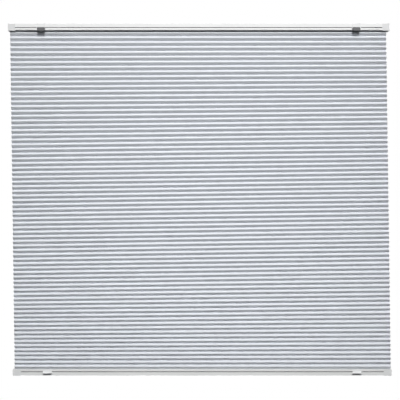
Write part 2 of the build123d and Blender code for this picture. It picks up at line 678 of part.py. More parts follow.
# Ribbon spring: most of its turns on the output drum, a straight lap, and spare turns on storage
with BuildPart() as spring_ribbon:
    ribbon_low = drum_low + FLANGE_THICK + RIBBON_CLEAR
    ribbon_in = drum_core_r + RIBBON_GAP
    with BuildSketch(Plane.XY.offset(ribbon_low)):
        for x, turns in ((shaft_x[1], RIBBON_SPARE), (shaft_x[2], RIBBON_FULL)):
            with Locations((x, 0)):
                Circle(ribbon_in + turns)
        with BuildLine():
            Polyline(
                (shaft_x[1], -ribbon_in - RIBBON_SPARE),
                (shaft_x[2], -ribbon_in - RIBBON_FULL),
                (shaft_x[2], -ribbon_in - RIBBON_FULL + RIBBON_THICK),
                (shaft_x[1], -ribbon_in - RIBBON_SPARE + RIBBON_THICK),
                close=True,
            )
        make_face()
        with Locations((shaft_x[1], 0), (shaft_x[2], 0)):
            Circle(ribbon_in, mode=Mode.SUBTRACT)
    extrude(amount=flange_low - RIBBON_CLEAR - ribbon_low)
spring_ribbon.part.label = "spring_ribbon"
export_step(spring_ribbon.part, "parts/spring_ribbon.step")

# Motor base: a plate on the rail's floor with the four posts and the cover's pillars
motor_half_x = shaft_x[3] + tip_r + MOTOR_MARGIN
motor_half_y = groove_inner - AXIAL_GAP
pillar_y = groove_inner - PILLAR_INSET
pillars = [(gear_step * out, pillar_y * over) for out in (-1, 1) for over in (-1, 1)]
with BuildPart() as motor_base:
    block((-motor_half_x, motor_half_x), (-motor_half_y, motor_half_y), (floor_top, base_top))
    for x in shaft_x:
        disc(x, POST_R, base_top, cover_low)
        disc(x, PIP_R, cover_low, cover_top)
    with Locations(*[(x, y, (base_top + cover_low) / 2) for x, y in pillars]):
        Cylinder(PILLAR_R, cover_low - base_top)
    with Locations(*[(x, y, cover_low - SCREW_LENGTH / 2) for x, y in pillars]):
        Cylinder(SCREW_R + CRADLE_PRESS, SCREW_LENGTH, mode=Mode.SUBTRACT)
motor_base.part.label = "motor_base"
export_step(motor_base.part, "parts/motor_base.step")

# Motor cover: a plate over the shafts, countersunk for its screws
with BuildPart() as motor_cover:
    block((-motor_half_x, motor_half_x), (-motor_half_y, motor_half_y), (cover_low, cover_top))
    fillet(motor_cover.edges().filter_by(Axis.Z), radius=COVER_CORNER_R)
    for x in shaft_x:
        disc(x, PIP_R + RUNNING, cover_low, cover_top, Mode.SUBTRACT)
    with Locations(*[(x, y, cover_top) for x, y in pillars]):
        CounterSinkHole(SCREW_R + RUNNING, SCREW_HEAD_R + RUNNING, depth=COVER_THICK, counter_sink_angle=90)
motor_cover.part.label = "motor_cover"
export_step(motor_cover.part, "parts/motor_cover.step")

# The cover's four countersunk screws
with BuildPart() as motor_screws:
    head_height = SCREW_HEAD_R - SCREW_R
    shank_low = cover_low - SCREW_LENGTH + AXIAL_GAP
    with Locations(*[(x, y, cover_top - head_height / 2) for x, y in pillars]):
        Cone(SCREW_R, SCREW_HEAD_R, head_height)
    with Locations(*[(x, y, (shank_low + cover_top - head_height) / 2) for x, y in pillars]):
        Cylinder(SCREW_R, cover_top - head_height - shank_low)
    with Locations(*[(x, y, cover_top - DRIVE_WIDTH / 2) for x, y in pillars]):
        Box(DRIVE_SIZE, DRIVE_WIDTH, DRIVE_WIDTH, mode=Mode.SUBTRACT)
        Box(DRIVE_WIDTH, DRIVE_SIZE, DRIVE_WIDTH, mode=Mode.SUBTRACT)
motor_screws.part.label = "motor_screws"
export_step(motor_screws.part, "parts/motor_screws.step")

# Cradles on the rail's floor that hold the pulleys over the cord holes
for side, sign in SIDES.items():
    with BuildPart() as cord_cradle:
        block(
            span(sign, pulley_x - pulley_r, CORD_X + CRADLE_RIM),
            (-cradle_half, cradle_half),
            (floor_top, cord_z + CORD_R),
        )
        block(
            span(sign, pulley_x - pulley_r, CORD_X + CRADLE_RIM),
            (-cradle_inner, cradle_inner),
            (floor_top + CRADLE_BASE, cord_z + CORD_R),
            Mode.SUBTRACT,
        )
        with Locations((sign * CORD_X, 0, (floor_low + floor_top) / 2)):
            Cylinder(CRADLE_SPIGOT_R, RAIL_FLOOR)
        with Locations((sign * CORD_X, 0, (floor_low + floor_top + CRADLE_BASE) / 2)):
            Cylinder(CORD_PASS_R, RAIL_FLOOR + CRADLE_BASE, mode=Mode.SUBTRACT)
        with Locations((sign * pulley_x, 0, pulley_z)):
            Cylinder(AXLE_R + CRADLE_PRESS, 2 * cradle_half, rotation=(90, 0, 0), mode=Mode.SUBTRACT)
    cord_cradle.part.label = f"cord_cradle_{side}"
    export_step(cord_cradle.part, f"parts/cord_cradle_{side}.step")

# Axles across the cradles
for side, sign in SIDES.items():
    with BuildPart() as pulley_axle:
        with Locations((sign * pulley_x, 0, pulley_z)):
            Cylinder(AXLE_R, 2 * cradle_half, rotation=(90, 0, 0))
        chamfer(pulley_axle.edges(), length=AXLE_EDGE)
    pulley_axle.part.label = f"pulley_axle_{side}"
    export_step(pulley_axle.part, f"parts/pulley_axle_{side}.step")

# Grooved pulleys on the axles
for side, sign in SIDES.items():
    with BuildPart() as pulley:
        hub = Vector(sign * pulley_x, 0, pulley_z)
        with BuildSketch(Plane(origin=hub)):
            rect((AXLE_R + RUNNING, pulley_r), (-PULLEY_WIDTH / 2, PULLEY_WIDTH / 2))
            groove_r = pulley_wind_r + RUNNING
            with Locations((groove_r, 0)):
                Circle(PULLEY_GROOVE_R, mode=Mode.SUBTRACT)
            rect((groove_r, pulley_r), (-PULLEY_GROOVE_R, PULLEY_GROOVE_R), Mode.SUBTRACT)
        revolve(axis=Axis(hub, (0, 1, 0)))
    pulley.part.label = f"pulley_{side}"
    export_step(pulley.part, f"parts/pulley_{side}.step")

# Lift cords, held all the way: round the spool, along the rail, over the pulley, down to the knot
spool_x = shaft_x[3]
for side, sign in SIDES.items():
    with BuildPart() as lift_cord:
        wrap_x = sign * (spool_x - spool_wind_r)
        with BuildLine() as route:
            FilletPolyline(
                (wrap_x, -WRAP_SHARE * spool_wind_r, cord_z),
                (wrap_x, spool_wind_r, cord_z),
                (sign * CORD_X, 0, cord_z),
                (sign * CORD_X + HANG_SHIFT, 0, knot_z),
                radius=[spool_wind_r, pulley_wind_r],
            )
        with BuildSketch(Plane(origin=route.line @ 0, z_dir=route.line % 0)):
            Circle(CORD_R)
        sweep()
        with Locations((sign * CORD_X + HANG_SHIFT, 0, knot_z)):
            Sphere(KNOT_R)
    lift_cord.part.label = f"lift_cord_{side}"
    export_step(lift_cord.part, f"parts/lift_cord_{side}.step")
    length = sum(edge.length for edge in route.edges())
    knot_out = lift_cord.part.volume - pi * CORD_R**2 * length
    print(f"lift_cord_{side}: length {length:.1f}, radii {spool_wind_r:.1f} and {pulley_wind_r:.1f}")
    print(f"  volume past section x length, which is the knot: {knot_out:.1f}")
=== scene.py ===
"""Pleated blind: the looks of a honeycomb blind, built over its packed construction model."""

from math import radians

import bmesh
import bpy
import numpy as np
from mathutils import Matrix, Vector


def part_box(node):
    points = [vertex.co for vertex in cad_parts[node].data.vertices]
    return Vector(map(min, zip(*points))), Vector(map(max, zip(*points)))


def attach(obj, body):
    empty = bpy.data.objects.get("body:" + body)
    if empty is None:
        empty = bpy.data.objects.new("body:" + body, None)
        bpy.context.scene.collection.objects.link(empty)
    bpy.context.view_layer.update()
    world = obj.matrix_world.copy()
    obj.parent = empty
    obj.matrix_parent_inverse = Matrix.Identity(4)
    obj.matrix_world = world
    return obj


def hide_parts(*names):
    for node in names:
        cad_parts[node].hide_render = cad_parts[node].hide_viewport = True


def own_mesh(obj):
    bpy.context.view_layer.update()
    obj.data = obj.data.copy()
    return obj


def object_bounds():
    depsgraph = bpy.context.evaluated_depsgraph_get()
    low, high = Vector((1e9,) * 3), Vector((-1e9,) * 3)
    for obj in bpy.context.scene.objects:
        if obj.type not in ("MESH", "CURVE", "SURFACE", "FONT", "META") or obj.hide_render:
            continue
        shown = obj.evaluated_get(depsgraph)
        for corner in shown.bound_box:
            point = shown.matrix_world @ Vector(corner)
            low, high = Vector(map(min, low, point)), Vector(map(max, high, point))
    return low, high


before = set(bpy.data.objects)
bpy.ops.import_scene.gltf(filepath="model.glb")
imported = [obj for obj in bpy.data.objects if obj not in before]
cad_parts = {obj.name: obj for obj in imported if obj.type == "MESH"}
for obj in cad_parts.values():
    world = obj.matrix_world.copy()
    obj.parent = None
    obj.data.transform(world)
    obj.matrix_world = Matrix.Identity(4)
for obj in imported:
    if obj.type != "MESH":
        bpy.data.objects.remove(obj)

bl_info = {
    "name": "Pleated blind",
    "version": (1, 0, 0),
    "blender": (4, 5, 0),
    "location": "3D View > Sidebar > Blind",
    "description": "Builds the cloth, cords and finishes of a cordless honeycomb blind",
    "category": "Add Mesh",
}

CAD_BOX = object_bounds()
CLOTH_LOW, CLOTH_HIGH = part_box("pleated_fabric")
RAIL_LOW, RAIL_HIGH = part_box("head_rail")
BOTTOM_LOW, BOTTOM_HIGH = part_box("bottom_rail")
HANG_SHIFT = (BOTTOM_LOW.x + BOTTOM_HIGH.x) / 2 - (RAIL_LOW.x + RAIL_HIGH.x) / 2
CLOTH_HALF = (CLOTH_HIGH.x - CLOTH_LOW.x - HANG_SHIFT) / 2
CLOTH_HEIGHT = CLOTH_HIGH.z - CLOTH_LOW.z
SIDES = {"left": -1, "right": 1}
# Each rail's groove: the height of its middle line, and the depth of the face that it is cut into
HEAD_GROOVE = (RAIL_HIGH.z - 0.0133, RAIL_HIGH.y)
BOTTOM_GROOVE = (BOTTOM_HIGH.z - 0.0079, BOTTOM_HIGH.y)
GROOVE_HALF = 0.00127
# Where the painted groove shade starts and ends behind each rail's face
GROOVE_SHADE_STARTS = 0.00025
GROOVE_SHADE_ENDS = 0.0015
# Painted shade: the bottom rail gets the rail paint darkened by this factor, so that it looks less lit than
# the head rail
BOTTOM_RAIL_PAINTED_SHADE = 0.88
DROOP_POWER = 2.2
CLOTH_SEED = 20
CORD_SIDES = 10
KNOT_STEPS = 60
FLOOR_STEPS = 11


# ---------------------------------------------------------------------------------------------
# Sizes and colours
# ---------------------------------------------------------------------------------------------


class ClothSizes(bpy.types.PropertyGroup):
    """Sizes of the folded cloth."""

    cells: bpy.props.IntProperty(
        name="Cells", description="Number of cells from the head rail to the bottom rail", default=74, min=2
    )
    strip: bpy.props.FloatProperty(
        name="Glue strip",
        description="Width of the strip that joins each cell to the next",
        default=0.006,
        unit="LENGTH",
        precision=4,
    )
    wall: bpy.props.FloatProperty(
        name="Cloth thickness",
        description="Thickness of a cell's wall",
        default=0.00035,
        unit="LENGTH",
        precision=5,
    )
    nose_share: bpy.props.FloatProperty(
        name="Crease place",
        description="How far down its cell the front crease lies",
        default=0.40,
        subtype="FACTOR",
        min=0.1,
        max=0.9,
    )
    softness: bpy.props.FloatProperty(
        name="Crease softness",
        description="How far each crease is drawn in by its roundness",
        default=0.0003,
        unit="LENGTH",
        precision=5,
    )
    swell: bpy.props.FloatProperty(
        name="Facet swell",
        description="How far the middle of each facet stands out",
        default=0.00025,
        unit="LENGTH",
        precision=5,
    )
    sag_left: bpy.props.FloatProperty(
        name="Stretch at the left",
        description="How far the middle cells hang below an even spacing at the left edge",
        default=0.0300,
        unit="LENGTH",
        precision=4,
    )
    sag_right: bpy.props.FloatProperty(
        name="Stretch at the right",
        description="How far the middle cells hang below an even spacing at the right edge",
        default=0.0100,
        unit="LENGTH",
        precision=4,
    )
    drift: bpy.props.FloatProperty(
        name="Lower stretch at the right",
        description="Extra sag above the middle, taken back below it, at the right edge",
        default=0.0016,
        unit="LENGTH",
        precision=4,
    )
    lean: bpy.props.FloatProperty(
        name="Sideways slack",
        description="How far the cloth stands left of its place at the top, and right of it at the bottom",
        default=0.002,
        unit="LENGTH",
        precision=4,
    )
    ripple: bpy.props.FloatProperty(
        name="Ripple",
        description="Size of the small uneven waves along the creases",
        default=0.00003,
        unit="LENGTH",
        precision=5,
    )
    columns: bpy.props.IntProperty(
        name="Columns", description="Divisions of the cloth across its width", default=26, min=2
    )
    cut_length: bpy.props.FloatProperty(
        name="Cut length",
        description="Length of cloth in all the cells, each a tube of two walls and two glue strips",
        default=4.64,
        unit="LENGTH",
    )


class CordSizes(bpy.types.PropertyGroup):
    """Sizes of the two lift cords, which run inside the cloth."""

    radius: bpy.props.FloatProperty(
        name="Cord radius", description="Radius of a lift cord", default=0.0006, unit="LENGTH", precision=4
    )
    inset: bpy.props.FloatProperty(
        name="Distance from the middle",
        description="From the blind's middle to the cord's drop",
        default=0.568,
        unit="LENGTH",
    )
    level: bpy.props.FloatProperty(
        name="Run level",
        description="Height of the cord's run along the head rail",
        default=-0.0076,
        unit="LENGTH",
    )
    spool_radius: bpy.props.FloatProperty(
        name="Spool radius", description="Radius the cord winds at", default=0.010, unit="LENGTH"
    )
    spool_x: bpy.props.FloatProperty(
        name="Spool place",
        description="From the middle to each spool's axis",
        default=0.040725,
        unit="LENGTH",
    )
    pulley_radius: bpy.props.FloatProperty(
        name="Pulley radius",
        description="Radius the cord turns round its pulley at",
        default=0.0036,
        unit="LENGTH",
        precision=4,
    )
    knot_level: bpy.props.FloatProperty(
        name="Knot level", description="Height of the middle of the end knot", default=-1.27766, unit="LENGTH"
    )
    knot_radius: bpy.props.FloatProperty(
        name="Knot radius",
        description="Outer radius of the end knot",
        default=0.0017,
        unit="LENGTH",
        precision=4,
    )


def colour_property(name, description, default):
    """A colour with its own name, description and default."""
    return bpy.props.FloatVectorProperty(
        name=name, description=description, default=default, subtype="COLOR", size=3, min=0.0, max=1.0
    )


class BlindColours(bpy.types.PropertyGroup):
    """Colours of the blind's finishes."""

    cloth: colour_property("Cloth", "Folded polyester cloth", (0.655, 0.675, 0.71))
    rail: colour_property("Rail paint", "Powder coat on both aluminium rails", (0.83, 0.835, 0.83))
    # Painted shade: a near-black colour put in the rails' grooves for the shade inside them
    groove: colour_property("Groove painted shade", "Near-black paint for the shade in the rails' grooves", (0.045, 0.045, 0.047))
    cap: colour_property("End caps", "Moulded end caps", (0.71, 0.715, 0.715))
    bracket: colour_property("Bracket paint", "Painted steel brackets", (0.80, 0.805, 0.80))
    lever: colour_property("Lever plastic", "Moulded release levers", (0.10, 0.101, 0.105))
    strip: colour_property("Strip plastic", "Strips that carry the cloth", (0.66, 0.67, 0.68))
    tab: colour_property("Tab plastic", "Finger tabs on the bottom rail", (0.78, 0.785, 0.79))
    cord: colour_property("Cord", "Braided lift cords", (0.78, 0.785, 0.79))
    motor: colour_property("Motor plastic", "Spring motor's base and cover", (0.07, 0.072, 0.078))
    gear: colour_property("Gear plastic", "Gears, spools, drums and pulleys", (0.62, 0.61, 0.58))
    steel: colour_property("Bright steel", "Springs, pins, axles, screws and ballast", (0.56, 0.565, 0.57))


class StageSettings(bpy.types.PropertyGroup):
    """Floor, lights and camera."""

    floor_level: bpy.props.FloatProperty(
        name="Floor level", description="Height of the floor", default=-2.35, unit="LENGTH"
    )
    camera_x: bpy.props.FloatProperty(
        name="Camera X", description="Camera's place across the blind", default=0.005, unit="LENGTH"
    )
    camera_level: bpy.props.FloatProperty(
        name="Camera level", description="Camera's height", default=-0.6476, unit="LENGTH"
    )
    distance: bpy.props.FloatProperty(
        name="Camera distance",
        description="From the camera to the blind's front",
        default=3.9,
        unit="LENGTH",
    )
    lens: bpy.props.FloatProperty(
        name="Lens", description="Focal length in millimetres", default=95.6, unit="CAMERA"
    )
    key_power: bpy.props.FloatProperty(
        name="Key light", description="Power of the main light", default=50.0, unit="POWER"
    )
    fill_power: bpy.props.FloatProperty(
        name="Fill lights", description="Power of each light behind the blind", default=120.0, unit="POWER"
    )
    floor_power: bpy.props.FloatProperty(
        name="Floor light",
        description="Power of the light that shines on the floor only",
        default=500.0,
        unit="POWER",
    )
    ambient: bpy.props.FloatProperty(
        name="Ambient light", description="Strength of the light from all round", default=0.08
    )


# ---------------------------------------------------------------------------------------------
# Surfaces
# ---------------------------------------------------------------------------------------------


def surface_object(name, points, quads, uv=None, body="head", sharp=50.0):
    """An object from arrays of points and of four-cornered faces, with its faces turned outwards.

    uv holds a pair for each corner of each face, in the order of quads.
    """
    mesh = bpy.data.meshes.new(name)
    mesh.from_pydata(points.tolist(), [], quads.tolist())
    if uv is not None:
        layer = mesh.uv_layers.new(name="cloth")
        layer.uv.foreach_set("vector", uv.astype(np.float32).ravel())
    shell = bmesh.new()
    shell.from_mesh(mesh)
    bmesh.ops.recalc_face_normals(shell, faces=shell.faces)
    shell.to_mesh(mesh)
    shell.free()
    mesh.shade_smooth()
    mesh.set_sharp_from_angle(angle=radians(sharp))
    mesh.update()
    item = bpy.data.objects.new(name, mesh)
    bpy.context.scene.collection.objects.link(item)
    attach(item, body)
    return item


def strip_quads(first, second):
    """Faces between two equal rows of point numbers: each takes a point and the next from both rows."""
    return np.stack([first[:-1], first[1:], second[1:], second[:-1]], axis=-1).reshape(-1, 4)


def grid_quads(numbers):
    """Faces of a whole grid of point numbers, from its rows and columns."""
    return np.stack(
        [numbers[:-1, :-1], numbers[:-1, 1:], numbers[1:, 1:], numbers[1:, :-1]], axis=-1
    ).reshape(-1, 4)


def rounded_path(corners, radii, steps=14):
    """Points along straight runs joined by tangent arcs, one arc for each inner corner.

    An arc starts and ends at radius times tan(half the turn) from its corner. Its points lie at
    centre + radius (outward cos a + forward sin a), with a going evenly from nothing to the turn.
    """
    corners = np.asarray(corners, float)
    pieces = [corners[:1]]
    for before, corner, after, radius in zip(corners[:-2], corners[1:-1], corners[2:], radii):
        arriving = (corner - before) / np.linalg.norm(corner - before)
        leaving = (after - corner) / np.linalg.norm(after - corner)
        turn = np.arccos(np.clip(arriving @ leaving, -1, 1))
        start = corner - arriving * radius * np.tan(turn / 2)
        inward = leaving - arriving * (arriving @ leaving)
        inward /= np.linalg.norm(inward)
        angle = np.linspace(0, turn, steps)[:, None]
        centre = start + inward * radius
        pieces.append(centre + radius * (arriving * np.sin(angle) - inward * np.cos(angle)))
    pieces.append(corners[-1:])
    return np.concatenate(pieces)


def spread_path(path, spacing):
    """The path with more points on its long runs, by reading it at evenly spaced lengths as well."""
    length = np.concatenate([[0], np.cumsum(np.linalg.norm(np.diff(path, axis=0), axis=1))])
    even = np.linspace(0, length[-1], int(length[-1] / spacing) + 2)
    every = np.unique(np.round(np.concatenate([length, even]), 6))
    return np.stack([np.interp(every, length, path[:, axis]) for axis in range(3)], axis=-1)


def tube(name, path, radius, sides, body, guide, closed=False):
    """A round tube along a path.

    Round each path point lies a ring: point + radius (u cos a + v sin a), where u is the path's
    direction crossed with the guide direction, v is that direction crossed with u, and a goes once
    round. An open tube ends in two rings drawn in towards the path and a small flat cap.
    """
    if closed:
        direction = np.roll(path, -1, axis=0) - np.roll(path, 1, axis=0)
    else:
        direction = np.gradient(path, axis=0)
    direction /= np.linalg.norm(direction, axis=1, keepdims=True)
    u = np.cross(direction, guide)
    u /= np.linalg.norm(u, axis=1, keepdims=True)
    v = np.cross(direction, u)
    size = np.full(len(path), float(radius))
    centre = path
    if not closed:
        centre = np.concatenate([path[:1], path[:1], path, path[-1:], path[-1:]])
        u = np.concatenate([u[:1], u[:1], u, u[-1:], u[-1:]])
        v = np.concatenate([v[:1], v[:1], v, v[-1:], v[-1:]])
        size = np.concatenate([[radius * 0.05, radius * 0.6], size, [radius * 0.6, radius * 0.05]])
    angle = np.linspace(0, 2 * np.pi, sides, endpoint=False)
    ring = u[:, None] * np.cos(angle)[None, :, None] + v[:, None] * np.sin(angle)[None, :, None]
    points = centre[:, None] + size[:, None, None] * ring
    numbers = np.arange(points.shape[0] * sides).reshape(-1, sides)
    around = np.concatenate([numbers, numbers[:, :1]], axis=1)
    if closed:
        around = np.concatenate([around, around[:1]])
    quads = [grid_quads(around)]
    if not closed:
        half = sides // 2
        for row in (numbers[0], numbers[-1]):
            quads.append(strip_quads(row[:half], row[::-1][:half]))
    step = np.linalg.norm(np.diff(centre, axis=0), axis=1)
    along = np.concatenate([[0], np.cumsum(step)])
    along_all = np.concatenate([along, [along[-1] + radius]]) if closed else along
    turn_share = np.arange(sides + 1) / sides
    level, share = np.meshgrid(along_all, turn_share * 2 * np.pi * radius, indexing="ij")
    uv_grid = np.stack([share, level], axis=-1)
    corner_uv = np.stack(
        [uv_grid[:-1, :-1], uv_grid[:-1, 1:], uv_grid[1:, 1:], uv_grid[1:, :-1]], axis=2
    ).reshape(-1, 4, 2)
    caps = sum(len(part) for part in quads[1:])
    uv = np.concatenate([corner_uv, np.zeros((caps, 4, 2))])
    return surface_object(name, points.reshape(-1, 3), np.concatenate(quads), uv, body)


# ---------------------------------------------------------------------------------------------
# Cloth
# ---------------------------------------------------------------------------------------------


def soft_noise(random, rows, across, waves, size):
    """Uneven waves: for each row, a sum of cosines along the width whose weights are random.

    The weights are averaged with the rows beside them, so that neighbouring pleats lie alike.
    """
    weights = random.normal(size=(waves, rows + 4))
    weights = sum(weights[:, shift : rows + shift] for shift in range(5)) / np.sqrt(5)
    weights = 0.7 * weights + 0.6 * random.normal(size=(waves, rows))
    weights /= (1 + np.arange(waves))[:, None]
    phase = random.uniform(0, 2 * np.pi, size=waves)
    wave = np.cos(np.pi * (1 + np.arange(waves))[None, :] * across[:, None] * 1.7 + phase)
    return size * wave @ weights


def hang_level(sizes, share, across):
    """Height of the cloth at a share of the way down and a share of the way across.

    An evenly spaced cloth would lie at top - height * share. The upper cells carry the cloth below
    them and open further, so the height is lowered by A (1 - |2 share - 1| ^ droop power), where A
    goes evenly from its value at the left edge to its value at the right, and by B sin(2 pi share),
    where B grows from nothing at the left edge.
    """
    stretch = sizes.sag_left + (sizes.sag_right - sizes.sag_left) * across
    droop = stretch * (1 - np.abs(2 * share - 1) ** DROOP_POWER)
    droop = droop + sizes.drift * across * np.sin(2 * np.pi * share)
    return CLOTH_HIGH.z - CLOTH_HEIGHT * share - droop


def fold_outline(sizes, across, random):
    """Depth and height of the front wall of every cell, from one glue strip to the next.

    Both walls of a cell keep one cut length L, whatever the cell's height p. The crease therefore
    lies on an ellipse whose ends are the two glue strips: with a = L / 2, c = p / 2 and u the
    crease's height above the cell's middle, its depth is sqrt(a^2 - c^2) sqrt(1 - (u / a)^2).
    Points of a facet lie on the straight line from strip to crease, moved out by
    4 swell t (1 - t), where t is the share of the facet.
    """
    cells = sizes.cells
    pitch = CLOTH_HEIGHT / cells
    reach = CLOTH_HIGH.y - sizes.strip / 2
    share = sizes.nose_share
    cut = np.hypot(reach, share * pitch) + np.hypot(reach, (1 - share) * pitch)
    row = np.arange(cells)
    upper = hang_level(sizes, (row / cells)[None, :], across[:, None])
    lower = hang_level(sizes, ((row + 1) / cells)[None, :], across[:, None])
    wobble = soft_noise(random, cells + 1, across, 6, sizes.ripple)
    wobble[:, 0] = 0
    wobble[:, -1] = 0
    upper = upper + wobble[:, :-1]
    lower = lower + wobble[:, 1:]
    height = upper - lower
    crease = upper - share * height + soft_noise(random, cells, across, 9, sizes.ripple * 0.6)
    rise = crease - (upper + lower) / 2
    depth = np.sqrt(cut**2 / 4 - height**2 / 4) * np.sqrt(1 - (2 * rise / cut) ** 2)
    depth = depth + soft_noise(random, cells, across, 7, sizes.ripple * 0.5)
    down = np.array([0.0, 0.06, 0.5, 0.95])
    up = down[::-1]
    top_z = upper[..., None] + (crease - upper)[..., None] * down
    low_z = lower[..., None] + (crease - lower)[..., None] * up
    top_y = depth[..., None] * down + sizes.swell * 4 * down * (1 - down)
    low_y = depth[..., None] * up + sizes.swell * 4 * up * (1 - up)
    nose_y = (depth - sizes.softness)[..., None]
    z = np.concatenate([top_z, crease[..., None], low_z], axis=-1)
    y = np.concatenate([top_y, nose_y, low_y], axis=-1) + sizes.strip / 2
    return y, z


def cloth_surface(sizes):
    """Points, faces and cloth coordinates of the whole folded cloth, as one closed surface.

    The outer surface goes down the front wall, across, and up the back wall. Inside it each cell
    is a tube of the same outline, moved in by the wall. At both cut ends a ring of faces joins
    each tube to its outline, and neighbouring rings meet along the glue strip. A cloth coordinate
    is the place across, and the length along the wall from the top.
    """
    random = np.random.default_rng(CLOTH_SEED)
    across = np.linspace(0, 1, sizes.columns + 1)
    front_y, front_z = fold_outline(sizes, across, random)
    back_y, back_z = fold_outline(sizes, across, random)
    back_z[..., 0] = front_z[..., 0]
    back_z[..., -1] = front_z[..., -1]
    columns, cells, marks = front_y.shape

    # Places across: even, plus the sideways hang and slack, plus a little unevenness at the cut ends
    share_down = (CLOTH_HIGH.z - front_z) / CLOTH_HEIGHT
    ragged = soft_noise(random, cells, across, 3, sizes.ripple)[..., None] * np.ones(marks)
    ragged[..., 0] = 0
    ragged[..., -1] = 0
    x = (2 * across - 1)[:, None, None] * CLOTH_HALF + HANG_SHIFT * share_down
    x = x + sizes.lean * (2 * share_down - 1)
    x = x + ragged * (2 * across - 1)[:, None, None] ** 8

    # Outer surface: each cell's last point is the next cell's first
    outer = np.zeros((columns, cells * (marks - 1) + 1, 2, 3))
    for side, (y, z) in enumerate(((-front_y, front_z), (back_y, back_z))):
        wall = np.stack([x, y, z], axis=-1)
        outer[:, :-1, side] = wall[:, :, :-1].reshape(columns, -1, 3)
        outer[:, -1, side] = wall[:, -1, -1]

    # Inner tubes: the same outline moved in by the wall, and kept a wall away from the strips
    inner = np.zeros((columns, cells, marks, 2, 3))
    for side, (y, z, out) in enumerate(((front_y, front_z, -1), (back_y, back_z, 1))):
        ceiling = z[..., :1] - sizes.wall
        ground = z[..., -1:] + sizes.wall
        z_in = np.clip(z, ground, ceiling)
        middle = marks // 2
        facet = np.hypot(y[..., middle] - y[..., 0], z[..., 0] - z[..., middle])
        thick = sizes.wall * facet / (z[..., 0] - z[..., middle])
        slope = (y[..., middle] - y[..., 0]) / (z[..., 0] - z[..., middle])
        y_in = y - thick[..., None]
        y_in[..., 0] += slope * sizes.wall
        y_in[..., -1] += slope * sizes.wall
        inner[..., side, :] = np.stack([x, out * y_in, z_in], axis=-1)

    points = np.concatenate([outer.reshape(-1, 3), inner.reshape(-1, 3)])
    outer_no = np.arange(outer.size // 3).reshape(outer.shape[:3])
    inner_no = outer_no.size + np.arange(inner.size // 3).reshape(inner.shape[:4])

    # Cut length along the front wall, for the cloth coordinates
    step = np.linalg.norm(np.diff(outer[:, :, 0, 1:], axis=1), axis=-1)
    along = np.concatenate([np.zeros((columns, 1)), np.cumsum(step, axis=1)], axis=1)
    flat_u = np.zeros(len(points))
    flat_v = np.zeros(len(points))
    cell_mark = np.arange(cells)[:, None] * (marks - 1) + np.arange(marks)[None, :]
    for side in (0, 1):
        flat_u[outer_no[:, :, side]] = outer[:, :, side, 0]
        flat_v[outer_no[:, :, side]] = along + side * (2 * along.max() + sizes.strip)
        flat_u[inner_no[..., side]] = inner[..., side, 0]
        flat_v[inner_no[..., side]] = along[:, cell_mark] + side * (2 * along.max() + sizes.strip)

    quads = [
        grid_quads(outer_no[:, :, 0]),
        grid_quads(outer_no[:, :, 1]),
        strip_quads(outer_no[:, 0, 0], outer_no[:, 0, 1]),
        strip_quads(outer_no[:, -1, 0], outer_no[:, -1, 1]),
    ]
    loops = np.concatenate([inner_no[..., 0], inner_no[..., ::-1, 1]], axis=-1)
    loops = np.concatenate([loops, loops[..., :1]], axis=-1)
    tubes = np.stack(
        [loops[:-1, :, :-1], loops[:-1, :, 1:], loops[1:, :, 1:], loops[1:, :, :-1]], axis=-1
    )
    quads.append(tubes.reshape(-1, 4))
    for end in (0, -1):
        rim = np.concatenate([outer_no[end, cell_mark, 0], outer_no[end, cell_mark[:, ::-1], 1]], axis=-1)
        rim = np.concatenate([rim, rim[:, :1]], axis=-1)
        mouth = loops[end]
        ring = np.stack([rim[:, :-1], rim[:, 1:], mouth[:, 1:], mouth[:, :-1]], axis=-1)
        quads.append(ring.reshape(-1, 4))
    quads = np.concatenate(quads)
    uv = np.stack([flat_u[quads], flat_v[quads]], axis=-1)
    return points, quads, uv


# ---------------------------------------------------------------------------------------------
# Shader groups
# ---------------------------------------------------------------------------------------------


def new_group(name, inputs, outputs):
    """A shader node group with number or vector inputs and number outputs, and its two end nodes."""
    group = bpy.data.node_groups.new(name, "ShaderNodeTree")
    for label, kind, value in inputs:
        made = group.interface.new_socket(name=label, in_out="INPUT", socket_type=kind)
        if value is not None:
            made.default_value = value
    for label in outputs:
        group.interface.new_socket(name=label, in_out="OUTPUT", socket_type="NodeSocketFloat")
    entry = group.nodes.new("NodeGroupInput")
    leave = group.nodes.new("NodeGroupOutput")
    return group, entry, leave


def maths(tree, operation, first, second=None):
    """A Math node fed by sockets or plain numbers. Returns its output socket."""
    node = tree.nodes.new("ShaderNodeMath")
    node.operation = operation
    for index, value in enumerate((first, second)):
        if value is None:
            continue
        if isinstance(value, (int, float)):
            node.inputs[index].default_value = value
        else:
            tree.links.new(value, node.inputs[index])
    return node.outputs[0]


def noise(tree, vector, scale, detail, rough=0.5):
    """A Noise Texture fed by a vector socket and a scale. Returns its value socket."""
    node = tree.nodes.new("ShaderNodeTexNoise")
    node.inputs["Detail"].default_value = detail
    node.inputs["Roughness"].default_value = rough
    tree.links.new(vector, node.inputs["Vector"])
    if isinstance(scale, (int, float)):
        node.inputs["Scale"].default_value = scale
    else:
        tree.links.new(scale, node.inputs["Scale"])
    return node.outputs["Fac"]


def spread(tree, value, low, high):
    """A Map Range node that stretches low..high to 0..1. Returns its output socket."""
    node = tree.nodes.new("ShaderNodeMapRange")
    node.inputs["From Min"].default_value = low
    node.inputs["From Max"].default_value = high
    tree.links.new(value, node.inputs["Value"])
    return node.outputs["Result"]


def grain_group():
    """Fine surface grain: a small noise for height, and one forty times larger for slow tone changes."""
    group, entry, leave = new_group(
        "Fine grain",
        [("Vector", "NodeSocketVector", None), ("Scale", "NodeSocketFloat", 900.0)],
        ["Height", "Tone"],
    )
    vector, scale = entry.outputs["Vector"], entry.outputs["Scale"]
    group.links.new(noise(group, vector, scale, 4.0, 0.6), leave.inputs["Height"])
    large = noise(group, vector, maths(group, "MULTIPLY", scale, 0.025), 2.0)
    group.links.new(spread(group, large, 0.3, 0.7), leave.inputs["Tone"])
    return group


